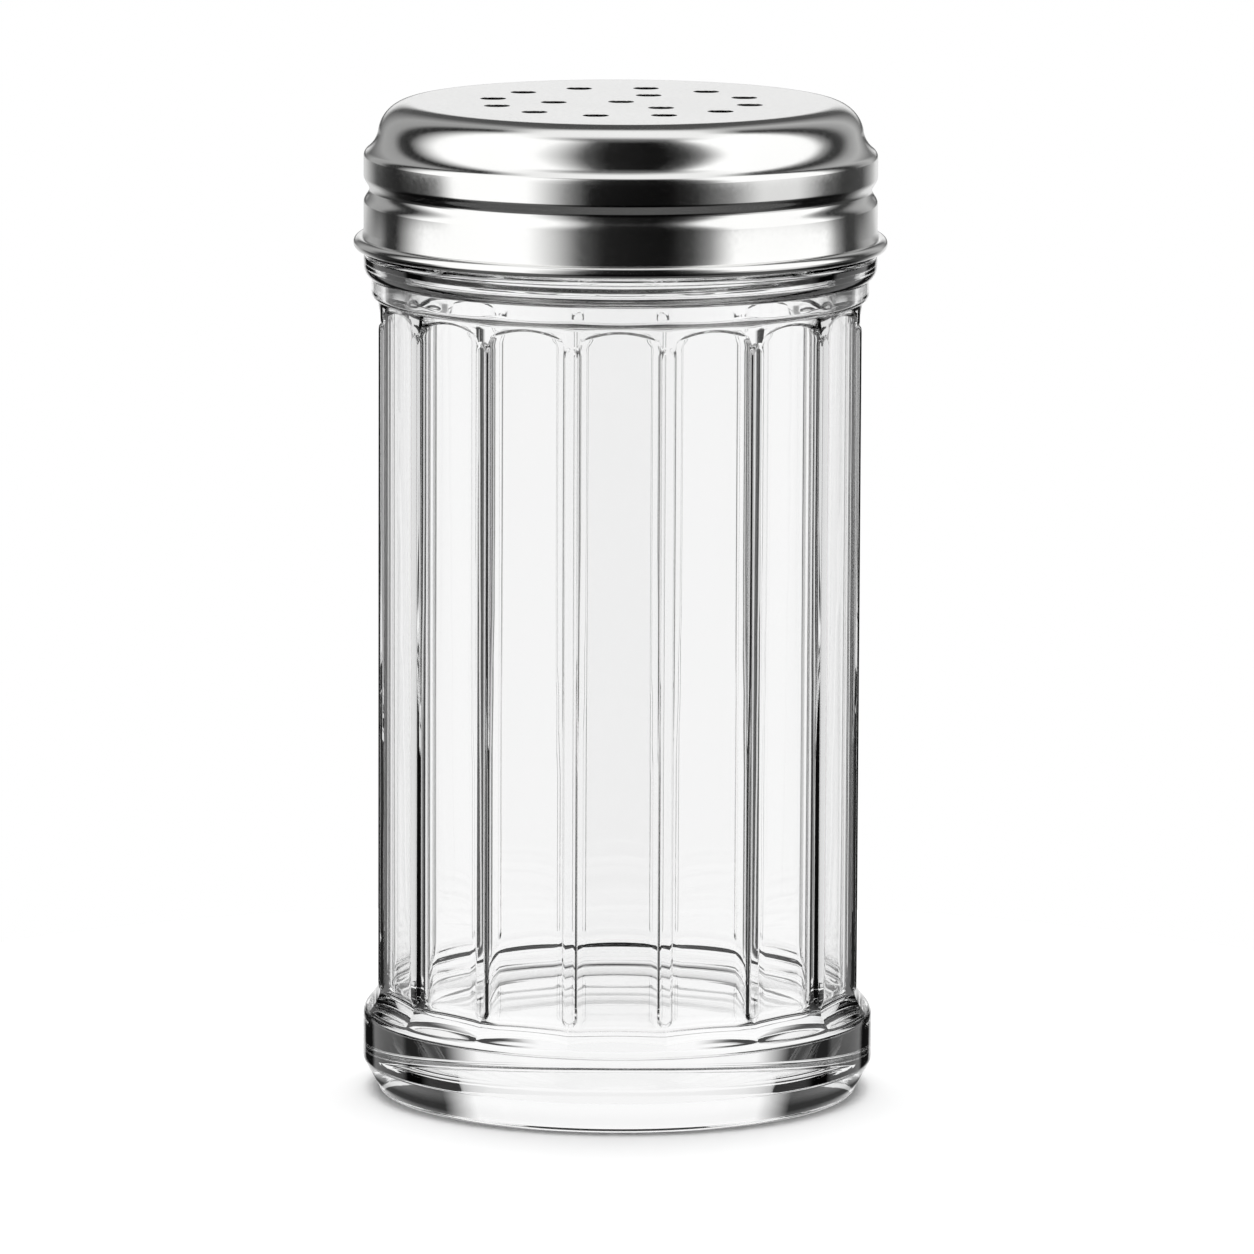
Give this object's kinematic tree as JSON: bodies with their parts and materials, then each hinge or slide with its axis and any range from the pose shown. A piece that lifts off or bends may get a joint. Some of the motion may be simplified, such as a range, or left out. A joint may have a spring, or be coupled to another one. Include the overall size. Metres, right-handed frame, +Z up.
{
  "type": "spice jar",
  "caption": "Panelled clear-glass spice shaker with round ribs, a heavy ringed base and a perforated polished-steel screw lid that lifts off.",
  "frame": {"origin": "centre of the foot, on the surface that the jar stands on", "axes": "+Z up along the jar's axis, towards the lid; -Y is the front, where a panel faces the viewer"},
  "size_m": [0.079, 0.079, 0.1479],
  "materials": {
    "clear_glass": "clear, fire-polished soda-lime glass",
    "polished_steel": "polished stainless steel sheet"
  },
  "bodies": {
    "jar": {"glass_jar": "clear_glass"},
    "lid": {"perforated_lid": "polished_steel"}
  },
  "joints": [
    {"name": "lid_lift", "type": "slide", "parent": "jar", "child": "lid", "axis": [0, 0, 1], "range_m": [0, 0.03]}
  ]
}
